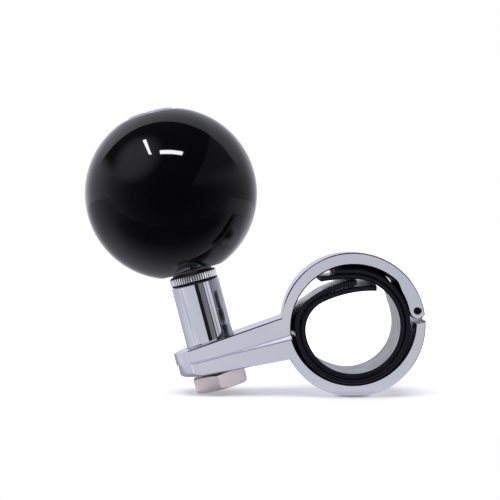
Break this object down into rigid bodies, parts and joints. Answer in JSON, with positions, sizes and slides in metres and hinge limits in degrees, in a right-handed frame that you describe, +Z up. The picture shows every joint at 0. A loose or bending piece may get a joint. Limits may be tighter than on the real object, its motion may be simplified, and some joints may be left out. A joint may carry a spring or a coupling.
{
  "type": "steering wheel spinner knob",
  "caption": "Glossy round knob that spins on a chromed post, above a hinged two-jaw ring clamp with rubber lining.",
  "frame": {"origin": "on the table, under the middle of the whole part's box", "axes": "+Z up as it lies on a table, +X from the knob's side towards the ring of the clamp, +Y along the bore of the clamp, away from the front"},
  "size_m": [0.1056, 0.054, 0.0897],
  "materials": {
    "ball": "gloss black phenolic, moulded in one",
    "badge": "pale domed disc, bare",
    "brass": "turned",
    "washer": "thin, brown and gold edge",
    "knurled_chrome": "bright plated, coin edge",
    "post_chrome": "bright plated, turned",
    "clamp_chrome": "bright plated casting, softly polished faces",
    "nut_plating": "nickel plated",
    "steel": "zinc plated",
    "pin_steel": "dark, unplated",
    "race_steel": "ground",
    "cage": "moulded",
    "rubber": "black strip, fine lines along its inner face"
  },
  "bodies": {
    "lower_clamp": {"lower_jaw": "clamp_chrome", "outer_strip": "rubber", "inner_strip": "rubber"},
    "upper_clamp": {"upper_jaw": "clamp_chrome", "hinge_pin": "pin_steel", "post_housing": "post_chrome", "clamp_stud": "steel", "upper_bearing_outer_race": "race_steel", "lower_bearing_outer_race": "race_steel", "upper_bearing_shields": "race_steel", "lower_bearing_shields": "race_steel", "bearing_spacer": "steel", "housing_clip": "steel"},
    "knob": {"ball_knob": "ball", "ball_badge": "badge", "ball_insert": "brass", "insert_washer": "washer", "knurled_ring": "knurled_chrome", "spindle": "steel", "spindle_clip": "steel", "upper_bearing_inner_race": "race_steel", "lower_bearing_inner_race": "race_steel", "race_spacer": "steel"},
    "upper_ball_set": {"upper_bearing_cage": "cage", "upper_bearing_balls": "race_steel"},
    "lower_ball_set": {"lower_bearing_cage": "cage", "lower_bearing_balls": "race_steel"},
    "nut": {"clamp_nut": "nut_plating"}
  },
  "joints": [
    {"name": "jaw_open", "type": "hinge", "parent": "lower_clamp", "child": "upper_clamp", "pos_m": [0.05027, 0, 0.02646], "axis": [0, 1, 0], "range_deg": [0, 50]},
    {"name": "knob_spin", "type": "hinge", "parent": "upper_clamp", "child": "knob", "pos_m": [-0.01233, 0, 0.01187], "axis": [-0.2565, 0, 0.9665], "continuous": true},
    {"name": "upper_ball_set_spin", "type": "hinge", "parent": "upper_clamp", "child": "upper_ball_set", "pos_m": [-0.01233, 0, 0.01187], "axis": [-0.2565, 0, 0.9665], "continuous": true},
    {"name": "lower_ball_set_spin", "type": "hinge", "parent": "upper_clamp", "child": "lower_ball_set", "pos_m": [-0.01233, 0, 0.01187], "axis": [-0.2565, 0, 0.9665], "continuous": true},
    {"name": "nut_off", "type": "slide", "parent": "upper_clamp", "child": "nut", "axis": [0.2565, 0, -0.9665], "range_m": [0, 0.064]}
  ],
  "couplings": [
    {"joint": "upper_ball_set_spin", "follows": "knob_spin", "ratio": 0.39362},
    {"joint": "lower_ball_set_spin", "follows": "knob_spin", "ratio": 0.39362},
    {"joint": "nut_off", "follows": "jaw_open", "m_per_rad": 0.073}
  ]
}
